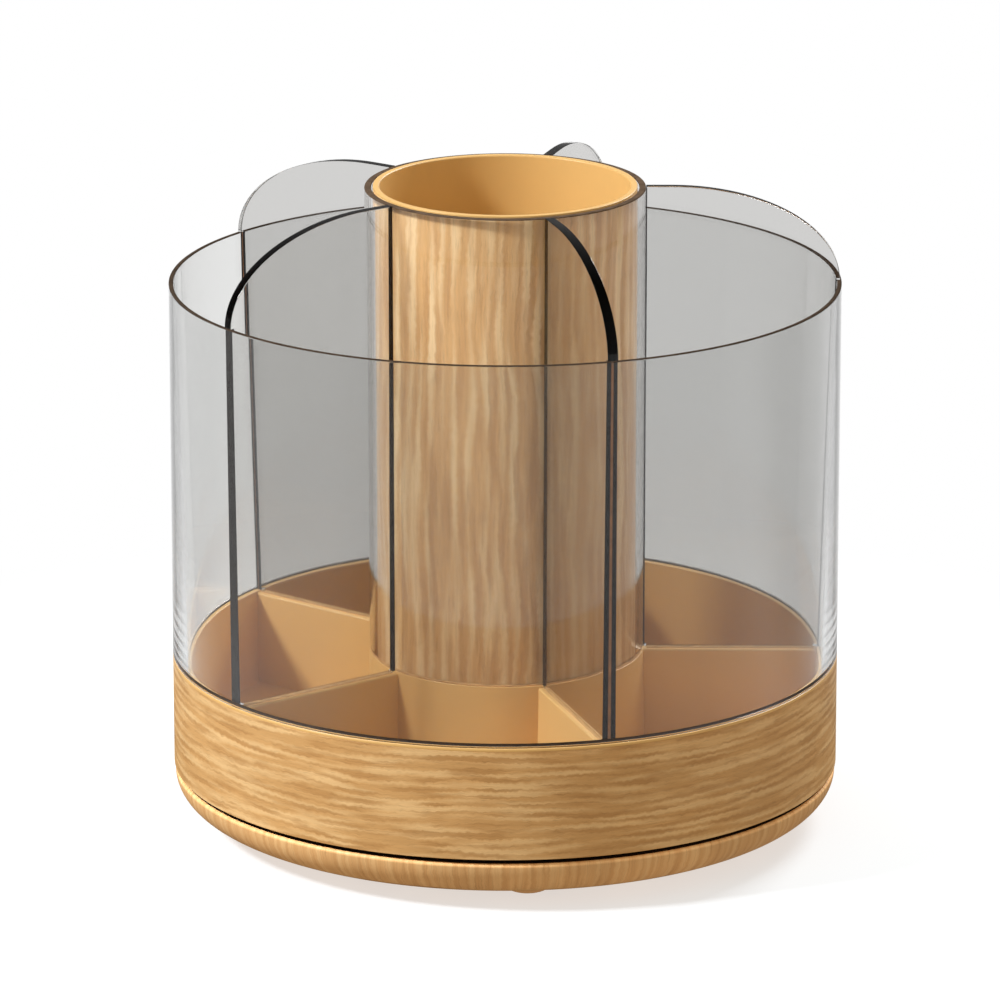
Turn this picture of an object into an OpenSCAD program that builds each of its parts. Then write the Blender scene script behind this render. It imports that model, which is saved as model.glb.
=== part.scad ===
// Rotating makeup organizer: a wood base on rubber feet carries a ball-bearing turntable with a
// partitioned tray, a clear wall with curved dividers, and a wood-grain brush cup in a clear tube.
// Millimetres, +Z up, origin on the turning axis at the level of the feet.

/* [Overall] */
// Outer radius of the tray, its wood-grain band and the clear wall
tray_r = 80; // [74:0.5:100]
// Number of compartments round the brush cup
compartments = 5; // [4:1:6]
// Gap left round pieces that are glued, pressed or screwed together
bond_gap = 0.05; // [0.02:0.01:0.1]

/* [Feet] */
// Number of rubber feet
foot_count = 4; // [3:1:6]
// Angle of the first foot
foot_turn = 5; // [0:1:60]
// Radius of a foot where it meets the base
foot_r = 6; // [4.5:0.25:8]
// Radius of the flat that a foot stands on
foot_flat_r = 3.6; // [2:0.1:4.2]
// How far a foot stands below the base
foot_drop = 2.5; // [1.5:0.1:5]
// Depth of the pocket that a foot is glued into
foot_seat = 0.8; // [0.4:0.1:1.4]
// From the edge of the flat underside in to a foot's centre
foot_margin = 5.7; // [4:0.1:9]

/* [Base] */
// Thickness of the base's floor
base_floor_t = 2.4; // [2:0.1:5]
// How far the base's side stands in from the tray's
base_inset = 0.3; // [0:0.1:2]
// How far the base's lower edge curves in
base_curve_w = 14; // [8:0.5:18]
// Radius of the base's upper edge
base_edge_r = 0.8; // [0.4:0.1:1.5]
// From the base's side in to its recess
base_wall_t = 6.8; // [5.5:0.1:9]
// Thickness of the dust lip inside the tray's skirt
lip_t = 2; // [1:0.1:3]
// Gap between the dust lip and the tray above it
lip_gap = 0.7; // [0.4:0.1:1.2]
// Radius at the foot of the recess wall
recess_round = 3; // [1:0.5:4]
// Gap between the base and the tray that turns above it
turn_gap = 1.2; // [0.8:0.1:2.5]

/* [Ball bearing] */
// Radius of the circle that the balls run on
race_r = 46; // [40:0.5:48]
// From the ball circle in to a race's inner edge
race_in_w = 6; // [4.5:0.25:9]
// From the ball circle out to a race's outer edge
race_out_w = 10; // [8.5:0.25:12]
// Thickness of a race
race_t = 2.2; // [1.6:0.1:4]
// Depth of the groove that the balls run in
groove_depth = 0.7; // [0.4:0.1:1]
// Height of the seat under the lower race
seat_h = 1.2; // [0.6:0.1:4]
// Diameter of a ball
ball_d = 6; // [5:0.5:8]
// Number of balls
ball_count = 20; // [12:1:24]
// Running clearance of a ball in its groove
ball_clear = 0.1; // [0.05:0.01:0.2]
// Thickness of the cage
cage_t = 3; // [2:0.1:3.4]
// Width of the cage
cage_w = 9; // [8.8:0.1:9.5]
// Clearance of a ball in its cage pocket
cage_clear = 0.2; // [0.1:0.05:0.3]

/* [Race screws] */
// Number of screws that hold the lower race
base_screw_count = 4; // [3:1:8]
// Angle of the first screw in the lower race
base_screw_turn = 50; // [30:1:60]
// Radius of a screw's shank
screw_r = 1.25; // [1:0.05:1.5]
// Radius of a countersunk head
screw_head_r = 2.4; // [2:0.1:2.6]
// Height of a countersunk head
screw_head_h = 1.2; // [0.8:0.1:1.4]
// How far a screw bites into the piece behind the race
screw_bite = 2.6; // [1.5:0.1:2.8]
// From the ball circle out to the screws
screw_offset = 6.5; // [6:0.1:6.8]

/* [Pivot] */
// Radius of the pivot screw's shoulder
shoulder_r = 4; // [3.2:0.1:5]
// Running clearance of the shoulder in its bush
pivot_clear = 0.05; // [0.02:0.01:0.1]
// Radius of the pivot screw's thread
thread_r = 2.5; // [2:0.1:2.8]
// Length of the pivot screw's thread
thread_l = 6; // [4:0.5:7]
// Radius of the pivot screw's head
pivot_head_r = 7; // [6:0.1:9]
// Height of the pivot screw's head
pivot_head_h = 3; // [2.4:0.1:5]
// Width across the corners of the hexagon socket
socket_w = 5.8; // [4:0.1:7]
// Depth of the hexagon socket
socket_h = 1.8; // [1:0.1:2]
// Outer radius of the washer under the head
washer_r = 8; // [7:0.1:10]
// Thickness of that washer
washer_t = 1; // [0.6:0.1:2]
// Vertical play between the washer and the bush
pivot_play = 0.15; // [0.1:0.05:0.3]
// Wall of the bush
bush_t = 1.95; // [1:0.05:3]
// Thickness of the bush's flange
flange_t = 1; // [0.6:0.1:2]
// How far the bush's flange stands out from its barrel
flange_w = 2.5; // [1.5:0.1:4]
// Height of the boss round the bush
bush_boss_h = 4; // [2:0.5:8]
// Wall of the threaded insert
insert_t = 1.45; // [1:0.05:2]
// Wall of the base's boss round the insert
insert_boss_t = 4; // [2.5:0.25:6]
// Gap between the base's boss and the tray above it
boss_gap = 0.8; // [0.5:0.1:1.2]

/* [Tray] */
// Depth of the tray, from its rim to its floor
tray_depth = 23; // [14:0.5:40]
// Thickness of the tray's floor
tray_floor_t = 2.6; // [2:0.1:4]
// How far the tray's skirt hangs below its floor
skirt_h = 1.6; // [1.2:0.1:2.5]
// Thickness of the tray's side at the rim, with its band
tray_wall_t = 4; // [3.6:0.1:6]
// How much thicker the sides get from rim to floor
tray_draft = 0.6; // [0.2:0.1:1]
// Thickness of a partition at its top
partition_t = 5; // [4.4:0.1:7]
// How far a partition's top lies below the rim
partition_drop = 0.5; // [0.3:0.1:3]
// Thickness of the wood-grain band
band_t = 0.5; // [0.3:0.05:1]
// Plain edge of the tray above its band
band_lip = 0.8; // [0.6:0.1:3]
// Radius of the tray's upper edge
rim_round = 0.4; // [0.2:0.05:0.5]

/* [Clear wall] */
// Height of the clear wall above the tray's rim
wall_h = 91.5; // [50:0.5:140]
// Thickness of the clear wall at its rim
wall_top_t = 1.1; // [0.8:0.1:2]
// Thickness of the clear wall at its foot
wall_foot_t = 3; // [2.6:0.1:3.4]
// Radius of the edges of the clear rim
wall_round = 0.3; // [0.1:0.05:0.35]
// Width of the tongue that stands in the tray's groove
tongue_w = 1.2; // [0.8:0.1:1.4]
// Height of that tongue
tongue_h = 1; // [0.6:0.1:2]
// Clearance round the tongue
tongue_clear = 0.1; // [0.05:0.01:0.15]

/* [Clear tube and dividers] */
// Outer radius of the clear tube
tube_r = 33.4; // [28:0.2:38]
// Wall of the clear tube
tube_t = 1.6; // [1.2:0.1:2.4]
// How far the tube and the dividers stand above the clear wall
tube_rise = 22.75; // [12:0.25:35]
// Thickness of a divider at the top
panel_top_t = 2.4; // [1.2:0.1:2.6]
// Thickness of a divider at its foot
panel_foot_t = 3.2; // [2.7:0.1:4]
// How far a divider's shoulder reaches in from the rim
panel_curve_w = 40; // [15:0.5:42]
// How far a divider's shoulder stands in from the clear wall's side
panel_inset = 0.4; // [0.2:0.05:0.6]

/* [Brush cup] */
// Clearance of the cup in the clear tube
cup_fit = 0.4; // [0.3:0.05:0.8]
// Wall of the cup, with its wrap
cup_t = 1.6; // [1.3:0.1:2.5]
// Thickness of the cup's floor
cup_floor_t = 2; // [1.2:0.1:4]
// Thickness of the wood-grain wrap
wrap_t = 0.4; // [0.2:0.05:0.6]
// Plain edge of the cup above its wrap
cup_lip = 1.2; // [0.8:0.1:4]
// Height of the wrap's lower edge above the cup's underside
wrap_foot = 2; // [1.2:0.1:6]
// How far the cup stands above the clear tube
cup_rise = 0.3; // [0:0.1:3]
// Radius of the edges of the cup's rim
cup_round = 0.4; // [0.2:0.05:0.5]
// Radius inside the foot of the cup
cup_fillet = 3; // [1:0.5:6]
// Number of ribs that the cup stands on
rib_count = 10; // [6:1:16]
// Thickness of a rib
rib_t = 1.6; // [1:0.1:3]
// How far a rib reaches in from the hub's wall
rib_w = 5; // [3:0.5:8]
// Gap between the pivot screw's head and the cup
cup_gap = 0.9; // [0.5:0.1:3]

/* [Hidden] */
$fn = 96;
eps = 0.5;
arc_steps = 4;
curve_steps = 20;
wood = [0.76, 0.55, 0.32];
tan_plastic = [0.80, 0.60, 0.38];
clear_plastic = [0.75, 0.77, 0.78, 0.4];
steel = [0.70, 0.70, 0.72];
brass = [0.78, 0.64, 0.32];
nylon = [0.90, 0.88, 0.82];
rubber = [0.45, 0.36, 0.28];

// Heights, from the feet up
base_z = foot_drop;
base_floor_z = base_z + base_floor_t;
seat_z = base_floor_z + seat_h;
groove_r = ball_d / 2 + ball_clear;
race_gap = 2 * (groove_r - groove_depth);
ball_z = seat_z + race_t + race_gap / 2;
under_z = seat_z + 2 * race_t + race_gap;
tray_z = under_z - skirt_h;
base_top = tray_z - turn_gap;
floor_z = under_z + tray_floor_t;
rim_z = floor_z + tray_depth;
partition_z = rim_z - partition_drop;
wall_top = rim_z + wall_h;
top_z = wall_top + tube_rise;

// Heights of the pivot
boss_top = under_z - boss_gap;
bush_top = floor_z + bush_boss_h;
washer_z = bush_top + flange_t + pivot_play;
pivot_head_z = washer_z + washer_t;
cup_z = pivot_head_z + pivot_head_h + cup_gap;
cup_top = top_z + cup_rise;

// Radii
base_r = tray_r - base_inset;
base_flat_r = base_r - base_curve_w;
foot_pitch_r = base_flat_r - foot_margin;
recess_r = base_r - base_wall_t;
race_in_r = race_r - race_in_w;
race_out_r = race_r + race_out_w;
screw_pitch_r = race_r + screw_offset;
tray_in_r = tray_r - tray_wall_t;
wall_foot_r = tray_r - wall_foot_t;
wall_top_r = tray_r - wall_top_t;
tongue_r = tray_r - wall_foot_t / 2;
tube_in_r = tube_r - tube_t;
cup_r = tube_in_r - cup_fit;
cup_in_r = cup_r - cup_t;
cup_body_r = cup_r - wrap_t - bond_gap;
bush_in_r = shoulder_r + pivot_clear;
bush_r = bush_in_r + bush_t;
insert_r = thread_r + bond_gap + insert_t;

foot_names = [for (i = [1:foot_count]) str("foot_", i)];
divider_names = [for (i = [1:compartments]) str("divider_", i)];

// Points of an elliptical arc, which is a round one where w and h are alike
function arc(centre, w, h, from, to, steps) =
    [for (i = [0:steps]) let (a = from + (to - from) * i / steps) centre + [w * cos(a), h * sin(a)]];

// Copies of a shape at even steps round the axis
module ring(count, first = 0) {
    for (i = [0:count - 1]) rotate(first + i * 360 / count) children();
}

// A ring of rectangular section
module band_ring(r_in, r_out, z, h) {
    rotate_extrude() translate([r_in, z]) square([r_out - r_in, h]);
}

// A wedge along X, thicker at its foot than at its top, for pieces with moulding draft
module drafted_wall(x0, x1, z0, z1, foot_t, top_t) {
    translate([x0, 0, 0])
        rotate([90, 0, 90])
            linear_extrude(x1 - x0)
                polygon([[-foot_t / 2, z0], [foot_t / 2, z0], [top_t / 2, z1], [-top_t / 2, z1]]);
}

// A countersunk screw along -Z with the top of its head at the origin, larger all round by gap
module countersunk(gap = 0) {
    bite = race_t + screw_bite;
    translate([0, 0, -bite - gap]) cylinder(r = screw_r + gap, h = bite + gap);
    translate([0, 0, -screw_head_h]) cylinder(r1 = screw_r + gap, r2 = screw_head_r + gap, h = screw_head_h);
}

module base_profile() {
    edge = arc([base_flat_r, base_top - base_edge_r], base_curve_w, base_top - base_edge_r - base_z,
        -90, 0, curve_steps);
    shoulder = arc([base_r - base_edge_r, base_top - base_edge_r], base_edge_r, base_edge_r, 0, 90, arc_steps);
    fillet = arc([recess_r - recess_round, base_floor_z + recess_round], recess_round, recess_round,
        0, -90, arc_steps);
    lip_top = under_z - lip_gap;
    boss_r = insert_r + bond_gap + insert_boss_t;
    polygon(concat([[0, base_z]], edge, shoulder,
        [[recess_r + lip_t, base_top], [recess_r + lip_t, lip_top], [recess_r, lip_top]], fillet,
        [[race_out_r, base_floor_z], [race_out_r, seat_z], [race_in_r, seat_z], [race_in_r, base_floor_z]],
        [[boss_r, base_floor_z], [boss_r, boss_top], [0, boss_top]]));
}

module base() {
    color(wood)
    difference() {
        rotate_extrude() base_profile();
        ring(foot_count, foot_turn)
            translate([foot_pitch_r, 0, base_z - eps]) cylinder(r = foot_r + bond_gap, h = foot_seat + eps);
        ring(base_screw_count, base_screw_turn)
            translate([screw_pitch_r, 0, seat_z + race_t]) countersunk(bond_gap);
        translate([0, 0, boss_top - thread_l - bond_gap])
            cylinder(r = insert_r + bond_gap, h = thread_l + bond_gap + eps);
    }
}

module foot(i) {
    dome = arc([foot_flat_r, foot_drop], foot_r - foot_flat_r, foot_drop, -90, 0, 2 * arc_steps);
    color(rubber)
    rotate(foot_turn + (i - 1) * 360 / foot_count)
        translate([foot_pitch_r, 0, 0])
            rotate_extrude()
                polygon(concat([[0, 0]], dome, [[foot_r, foot_drop + foot_seat], [0, foot_drop + foot_seat]]));
}

// A race with its groove facing up, lying on z = 0
module race(screw_count, first) {
    difference() {
        band_ring(race_in_r, race_out_r, 0, race_t);
        rotate_extrude() translate([race_r, race_t + race_gap / 2]) circle(r = groove_r);
        ring(screw_count, first) translate([screw_pitch_r, 0, race_t]) countersunk(bond_gap);
    }
}

module lower_race() {
    color(steel) translate([0, 0, seat_z]) race(base_screw_count, base_screw_turn);
}

module lower_race_screws() {
    color(steel)
    ring(base_screw_count, base_screw_turn)
        translate([screw_pitch_r, 0, seat_z + race_t]) countersunk();
}

module upper_race() {
    color(steel) translate([0, 0, under_z]) mirror([0, 0, 1]) race(compartments, 0);
}

// One screw goes up into the root of each partition
module upper_race_screws() {
    color(steel)
    ring(compartments)
        translate([screw_pitch_r, 0, under_z - race_t]) mirror([0, 0, 1]) countersunk();
}

module bearing_balls() {
    color(steel) ring(ball_count) translate([race_r, 0, ball_z]) sphere(d = ball_d);
}

module ball_cage() {
    color(nylon)
    difference() {
        band_ring(race_r - cage_w / 2, race_r + cage_w / 2, ball_z - cage_t / 2, cage_t);
        ring(ball_count)
            translate([race_r, 0, ball_z - cage_t / 2 - eps])
                cylinder(r = ball_d / 2 + cage_clear, h = cage_t + 2 * eps);
    }
}

module threaded_insert() {
    color(brass) band_ring(thread_r + bond_gap, insert_r, boss_top - thread_l, thread_l);
}

module pivot_screw() {
    color(steel)
    difference() {
        union() {
            translate([0, 0, boss_top - thread_l]) cylinder(r = thread_r, h = thread_l);
            translate([0, 0, boss_top]) cylinder(r = shoulder_r, h = pivot_head_z - boss_top);
            translate([0, 0, pivot_head_z]) cylinder(r = pivot_head_r, h = pivot_head_h);
        }
        translate([0, 0, pivot_head_z + pivot_head_h - socket_h])
            cylinder(d = socket_w, h = socket_h + eps, $fn = 6);
    }
}

module pivot_washer() {
    color(nylon) band_ring(shoulder_r + bond_gap, washer_r, washer_z, washer_t);
}

module pivot_bush() {
    color(nylon)
    rotate_extrude()
        polygon([[bush_in_r, under_z], [bush_r, under_z], [bush_r, bush_top],
            [bush_r + flange_w, bush_top], [bush_r + flange_w, bush_top + flange_t],
            [bush_in_r, bush_top + flange_t]]);
}

module tray_profile() {
    body_r = tray_r - band_t - bond_gap;
    groove_w = tongue_w + 2 * tongue_clear;
    groove_z = rim_z - tongue_h - tongue_clear;
    bush_hole_r = bush_r + bond_gap;
    rim_edge = arc([tray_r - rim_round, rim_z - rim_round], rim_round, rim_round, 0, 90, arc_steps);
    polygon(concat(
        [[body_r, tray_z], [body_r, rim_z - band_lip], [tray_r, rim_z - band_lip]], rim_edge,
        [[tongue_r + groove_w / 2, rim_z], [tongue_r + groove_w / 2, groove_z]],
        [[tongue_r - groove_w / 2, groove_z], [tongue_r - groove_w / 2, rim_z]],
        [[tray_in_r, rim_z], [tray_in_r - tray_draft, floor_z]],
        [[tube_r + tray_draft, floor_z], [tube_r, rim_z], [tube_in_r, rim_z], [tube_in_r, floor_z]],
        [[bush_r + flange_w, floor_z], [bush_r + flange_w, bush_top]],
        [[bush_hole_r, bush_top], [bush_hole_r, under_z], [tray_in_r, under_z], [tray_in_r, tray_z]]));
}

module tray() {
    root_r = tube_r - tube_t / 2;
    partition_end = (tray_in_r + tongue_r - tongue_w / 2 - tongue_clear) / 2;
    color(tan_plastic)
    difference() {
        union() {
            rotate_extrude() tray_profile();
            ring(compartments)
                drafted_wall(root_r, partition_end, under_z + tray_floor_t / 2, partition_z,
                    partition_t + 2 * tray_draft, partition_t);
            ring(rib_count, 180 / rib_count)
                translate([tube_in_r - rib_w, -rib_t / 2, floor_z - tray_floor_t / 2])
                    cube([rib_w + tube_t / 2, rib_t, cup_z - floor_z + tray_floor_t / 2]);
        }
        ring(compartments)
            translate([screw_pitch_r, 0, under_z - race_t]) mirror([0, 0, 1]) countersunk(bond_gap);
    }
}

module tray_band() {
    color(wood) band_ring(tray_r - band_t, tray_r, tray_z, rim_z - band_lip - tray_z);
}

// Section of the clear wall, larger all round its inner side by gap
module wall_profile(gap = 0) {
    outer = arc([tray_r - wall_round, wall_top - wall_round], wall_round, wall_round, 0, 90, arc_steps);
    inner = arc([wall_top_r + wall_round, wall_top - wall_round], wall_round, wall_round, 90, 180, arc_steps);
    polygon(concat([[tray_r, rim_z]], outer, [for (p = inner) p - [gap, 0]], [[wall_foot_r - gap, rim_z]]));
}

module clear_wall() {
    color(clear_plastic)
    union() {
        rotate_extrude() wall_profile();
        band_ring(tongue_r - tongue_w / 2, tongue_r + tongue_w / 2, rim_z - tongue_h, tongue_h + eps);
    }
}

module clear_tube() {
    color(clear_plastic) band_ring(tube_in_r, tube_r, rim_z, top_z - rim_z);
}

// Outline of a divider from the axis out: a foot that stands on its partition, inside the tray's side,
// and an elliptical shoulder over the clear rim
module panel_outline() {
    reach = tray_r - panel_inset;
    step_r = tray_in_r - tray_draft - tongue_clear;
    shoulder = arc([reach - panel_curve_w, wall_top], panel_curve_w, tube_rise, 0, 90, curve_steps);
    polygon(concat([[0, partition_z], [step_r, partition_z], [step_r, rim_z], [reach, rim_z]], shoulder,
        [[0, top_z]]));
}

module divider(i) {
    color(clear_plastic)
    rotate((i - 1) * 360 / compartments)
        difference() {
            intersection() {
                rotate([90, 0, 0]) linear_extrude(panel_foot_t, center = true) panel_outline();
                drafted_wall(0, tray_r, partition_z, top_z, panel_foot_t, panel_top_t);
            }
            rotate_extrude() wall_profile(bond_gap);
            translate([0, 0, rim_z]) cylinder(r = tube_r + bond_gap, h = top_z - rim_z + eps);
            translate([0, 0, partition_z - eps])
                cylinder(r = tube_r + tray_draft + bond_gap, h = partition_drop + eps);
        }
}

module brush_cup() {
    floor_top = cup_z + cup_floor_t;
    rim_out = arc([cup_r - cup_round, cup_top - cup_round], cup_round, cup_round, 0, 90, arc_steps);
    rim_in = arc([cup_in_r + cup_round, cup_top - cup_round], cup_round, cup_round, 90, 180, arc_steps);
    fillet = arc([cup_in_r - cup_fillet, floor_top + cup_fillet], cup_fillet, cup_fillet, 0, -90, arc_steps);
    color(tan_plastic)
    rotate_extrude()
        polygon(concat(
            [[0, cup_z], [cup_body_r, cup_z], [cup_body_r, cup_top - cup_lip], [cup_r, cup_top - cup_lip]],
            rim_out, rim_in, fillet, [[0, floor_top]]));
}

module cup_wrap() {
    wrap_z = cup_z + wrap_foot;
    color(wood) band_ring(cup_r - wrap_t, cup_r, wrap_z, cup_top - cup_lip - wrap_z);
}

base();
lower_race();
lower_race_screws();
threaded_insert();
pivot_screw();
pivot_washer();
for (i = [1:foot_count]) foot(i);
ball_cage();
bearing_balls();
tray();
tray_band();
upper_race();
upper_race_screws();
pivot_bush();
clear_wall();
clear_tube();
for (i = [1:compartments]) divider(i);
brush_cup();
cup_wrap();
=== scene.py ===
import math

import bmesh
import bpy
from mathutils import Matrix, Vector


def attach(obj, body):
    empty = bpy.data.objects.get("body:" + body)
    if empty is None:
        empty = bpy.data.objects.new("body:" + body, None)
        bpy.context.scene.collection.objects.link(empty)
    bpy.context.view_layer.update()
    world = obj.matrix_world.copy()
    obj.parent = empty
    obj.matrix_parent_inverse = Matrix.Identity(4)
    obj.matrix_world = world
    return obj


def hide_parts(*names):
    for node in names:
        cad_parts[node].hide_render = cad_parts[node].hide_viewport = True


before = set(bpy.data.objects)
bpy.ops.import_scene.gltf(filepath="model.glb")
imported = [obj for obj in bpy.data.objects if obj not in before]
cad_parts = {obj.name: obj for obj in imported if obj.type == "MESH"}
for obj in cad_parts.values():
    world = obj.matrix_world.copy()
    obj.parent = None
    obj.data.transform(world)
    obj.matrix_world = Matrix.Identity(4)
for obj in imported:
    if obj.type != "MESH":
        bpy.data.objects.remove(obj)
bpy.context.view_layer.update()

# Sizes in millimetres
MM = 0.001
AIR = 0.03  # hairline between clear plastic and what it touches
CUT = 0.5  # how far a cutter passes the face that it cuts
DIVIDERS = 5

BASE_R = 79.7
BASE_Z = 2.5
BASE_TOP = 12.5
BASE_CURVE_W = 14.0
BASE_ROUND = 0.8
FLAT_R = 65.0  # inside this radius the base's grain lies flat
DISH_Z = 4.9
DISH_FILLET = 3.0
COLLAR_R = 74.9
COLLAR_IN_R = 72.9
COLLAR_TOP = 14.6
SEAT_R = 56.0
SEAT_IN_R = 40.0
SEAT_Z = 6.1
BOSS_R = 8.05
BOSS_TOP = 14.5
INSERT_R = 4.05
INSERT_Z = 8.45
SCREW_R = 52.5
SCREW_HOLE_R = 1.3
SCREW_HOLE_DEPTH = 2.65
BASE_SCREWS = 4
BASE_SCREW_TURN = 50.0

FEET = 4
FOOT_R = 6.0
FOOT_ROUND_W = 2.4
FOOT_PITCH = 60.0
FOOT_TURN = 5.0
POCKET_R = 6.05
POCKET_DEPTH = 0.8

TRAY_R = 80.0
TRAY_Z = 13.7
RIM_Z = 40.9
RIM_H = 0.8
RIM_IN_R = 76.0
FLOOR_Z = 17.9
FLOOR_R = 75.4
UNDER_Z = 15.3
SKIRT_IN_R = 76.0
BAND_SEAT = 0.55
BAND_IN_R = 79.5
GROOVE_R = 79.2
GROOVE_IN_R = 77.8
GROOVE_DEPTH = 1.1
HUB_FOOT_R = 34.0
BUSH_R = 6.05
BUSH_BOSS_R = 8.5
BUSH_BOSS_TOP = 21.9
PARTITION_Z = 40.4
PARTITION_R = 76.9
PARTITION_FOOT_T = 6.2
PARTITION_TOP_T = 5.0
RIBS = 10
RIB_TURN = 18.0
RIB_IN_R = 26.8
RIB_T = 1.6

WALL_TOP = 132.4
WALL_FOOT_R = 77.0
WALL_TOP_R = 78.9
TONGUE_R = 79.1
TONGUE_IN_R = 77.9
TONGUE_DEPTH = 1.0
# height of the strip of painted shade at the wall's inner foot
FOOT_SHADE_STRIP_H = 0.55
TUBE_R = 33.4
TUBE_IN_R = 31.8
TOP_Z = 155.15
PANEL_FOOT_T = 3.2
PANEL_TOP_T = 2.4
PANEL_GAP = 0.1
PANEL_TUBE_GAP = 0.05
PANEL_EDGE = 0.2
SHOULDER_W = 40.0
SHOULDER_R = 79.6
STRIP_SHARE = 0.22  # of a divider's thickness, on each side of the middle
ROUND_SHARE = 0.29  # how far half-way round an edge lies in from its corner

CUP_R = 31.4
CUP_BODY_R = 30.95
CUP_IN_R = 29.8
CUP_Z = 27.95
CUP_FLOOR_Z = 29.95
CUP_TOP = 155.45
CUP_LIP_H = 0.6
WRAP_IN_R = 31.0

# Camera, in metres
LENS = 267.92
CAMERA_PLACE = (-0.001225, -1.71517, 0.57232)
CAMERA_AIM = (-0.001225, 0, 0.077634)


# Mesh making

def rounded(corners, steps=4):
    """Points of an outline whose corners are (radius, height, fillet)."""
    points = []
    for i, (x, y, fillet) in enumerate(corners):
        here = Vector((x, y))
        if not fillet:
            points.append(here)
            continue
        back = Vector(corners[i - 1][:2]) - here
        on = Vector(corners[(i + 1) % len(corners)][:2]) - here
        half = back.angle(on) / 2
        reach = min(fillet / math.tan(half), 0.49 * back.length, 0.49 * on.length)
        radius = reach * math.tan(half)
        middle = here + (back.normalized() + on.normalized()).normalized() * (radius / math.sin(half))
        start = here + back.normalized() * reach - middle
        turn = start.angle_signed(here + on.normalized() * reach - middle)
        for k in range(steps + 1):
            a = -turn * k / steps
            c, s = math.cos(a), math.sin(a)
            points.append(middle + Vector((c * start.x - s * start.y, s * start.x + c * start.y)))
    return points


def arc(cx, cy, w, h, start, end, steps):
    """Points of an elliptical arc, as outline corners without fillets."""
    angles = [math.radians(start + (end - start) * i / steps) for i in range(steps + 1)]
    return [(cx + w * math.cos(a), cy + h * math.sin(a), 0) for a in angles]


def new_piece(name, mesh):
    piece = bpy.data.objects.new(name, mesh)
    bpy.context.scene.collection.objects.link(piece)
    return piece


def mesh_of(name, bm):
    """A mesh in metres, faces outwards, from a bmesh in millimetres."""
    bmesh.ops.remove_doubles(bm, verts=bm.verts, dist=1e-5)
    bmesh.ops.recalc_face_normals(bm, faces=bm.faces)
    mesh = bpy.data.meshes.new(name)
    bm.to_mesh(mesh)
    bm.free()
    mesh.transform(Matrix.Scale(MM, 4))
    return mesh


def lathe(name, outline, steps=192, pick=None):
    """Revolves a closed outline, or one from axis to axis, round the turning axis.
    Its UV map is in metres: u goes round at the outer radius, from the back, and v along the outline.
    pick(radius, height) is the number of a face's finish."""
    bm = bmesh.new()
    uv = bm.loops.layers.uv.new("grain")
    outer = max(p[0] for p in outline)
    rings = []
    for p in outline:
        if p[0] < 1e-6:
            rings.append([bm.verts.new((0, 0, p[1]))] * (steps + 1))
            continue
        ring = []
        for i in range(steps):
            a = math.pi / 2 + 2 * math.pi * i / steps
            ring.append(bm.verts.new((p[0] * math.cos(a), p[0] * math.sin(a), p[1])))
        rings.append(ring + ring[:1])
    on_axis = outline[0][0] < 1e-6 and outline[-1][0] < 1e-6
    along = [0.0]
    for j in range(len(outline)):
        along.append(along[-1] + (Vector(outline[(j + 1) % len(outline)][:2]) - Vector(outline[j][:2])).length)
    for j in range(len(outline) - (1 if on_axis else 0)):
        low, high = rings[j], rings[(j + 1) % len(outline)]
        for i in range(steps):
            corners = [(low[i], i, j), (low[i + 1], i + 1, j), (high[i + 1], i + 1, j + 1), (high[i], i, j + 1)]
            kept = []
            for c in corners:
                if all(c[0] is not k[0] for k in kept):
                    kept.append(c)
            if len(kept) < 3:
                continue
            face = bm.faces.new([c[0] for c in kept])
            if pick is not None:
                middle = (Vector(outline[j][:2]) + Vector(outline[(j + 1) % len(outline)][:2])) / 2
                face.material_index = int(pick(middle.x, middle.y))
            for loop, c in zip(face.loops, kept):
                loop[uv].uv = (2 * math.pi * outer * c[1] / steps * MM, along[c[2]] * MM)
    return new_piece(name, mesh_of(name, bm))


def ring_section(name, r_in, r_out, z, h, fillet, steps=192, pick=None):
    """A ring of rectangular section with rounded edges."""
    corners = [(r_in, z, fillet), (r_out, z, fillet), (r_out, z + h, fillet), (r_in, z + h, fillet)]
    return lathe(name, rounded(corners, 3), steps, pick)


def plug(name, radius, low, high, steps):
    """A plain upright cylinder, for cutting."""
    return lathe(name, rounded([(0, low, 0), (radius, low, 0), (radius, high, 0), (0, high, 0)]), steps)


def drafted_bar(name, x0, x1, z0, z1, foot_t, top_t, fillet):
    """A wedge along X, thicker at its foot, with its upper edges rounded."""
    section = rounded([(-foot_t / 2, z0, 0), (foot_t / 2, z0, 0), (top_t / 2, z1, fillet), (-top_t / 2, z1, fillet)])
    bm = bmesh.new()
    ends = [[bm.verts.new((x, p[0], p[1])) for p in section] for x in (x0, x1)]
    for i in range(len(section)):
        k = (i + 1) % len(section)
        bm.faces.new((ends[0][i], ends[0][k], ends[1][k], ends[1][i]))
    for end in ends:
        bm.faces.new(end)
    return new_piece(name, mesh_of(name, bm))


def settle(piece):
    """Turns a piece's modifiers into a plain mesh."""
    graph = bpy.context.evaluated_depsgraph_get()
    mesh = bpy.data.meshes.new_from_object(piece.evaluated_get(graph))
    piece.modifiers.clear()
    piece.data = mesh
    return piece


def combine(piece, other, how):
    """Joins or cuts a piece with another, which is then removed."""
    step = piece.modifiers.new("combine", "BOOLEAN")
    step.operation = how
    step.solver = "EXACT"
    step.use_self = how == "UNION"
    step.object = other
    settle(piece)
    bpy.data.objects.remove(other)
    return piece


# Geometry Nodes: copies of a piece round the turning axis

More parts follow.
